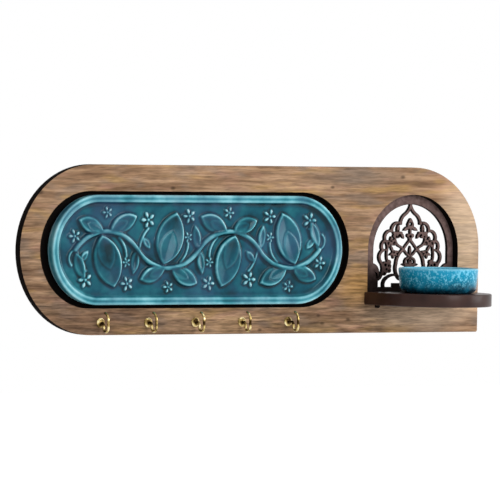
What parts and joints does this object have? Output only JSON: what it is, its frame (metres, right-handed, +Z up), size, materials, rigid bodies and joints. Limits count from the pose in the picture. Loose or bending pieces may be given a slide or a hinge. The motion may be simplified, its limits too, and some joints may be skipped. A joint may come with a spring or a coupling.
{
  "type": "wall key holder",
  "caption": "Long wall board with a framed relief tile, a pierced arched niche over a small shelf with a bowl, and a row of brass cup hooks for keys.",
  "frame": {"origin": "the middle of the board's length and height, in the wall plane that the glued back panels lie in", "axes": "+X along the board to the right as seen from the front, +Z up, -Y out of the wall"},
  "size_m": [0.5599, 0.109, 0.17],
  "materials": {
    "board_veneer": "satin, fine level grain",
    "dark_backing": "matt black stain",
    "tile_glaze": "gloss glaze on pressed clay",
    "lattice_wood": "satin brown stain",
    "shelf_lacquer": "semi-gloss dark lacquer",
    "bowl_glaze": "gloss speckled glaze on thrown clay",
    "hook_brass": "polished",
    "pin_paint": "black stain",
    "screw_steel": "zinc plated"
  },
  "bodies": {
    "root": {"front_board": "board_veneer", "tile_backing": "dark_backing", "relief_tile": "tile_glaze", "lattice_panel": "lattice_wood", "shelf": "shelf_lacquer", "bowl": "bowl_glaze", "shelf_pin_left": "pin_paint", "shelf_pin_right": "pin_paint", "shelf_screw_left": "screw_steel", "shelf_screw_right": "screw_steel", "cup_hook_1": "hook_brass", "hook_collar_1": "hook_brass", "cup_hook_2": "hook_brass", "hook_collar_2": "hook_brass", "cup_hook_3": "hook_brass", "hook_collar_3": "hook_brass", "cup_hook_4": "hook_brass", "hook_collar_4": "hook_brass", "cup_hook_5": "hook_brass", "hook_collar_5": "hook_brass"}
  },
  "joints": []
}
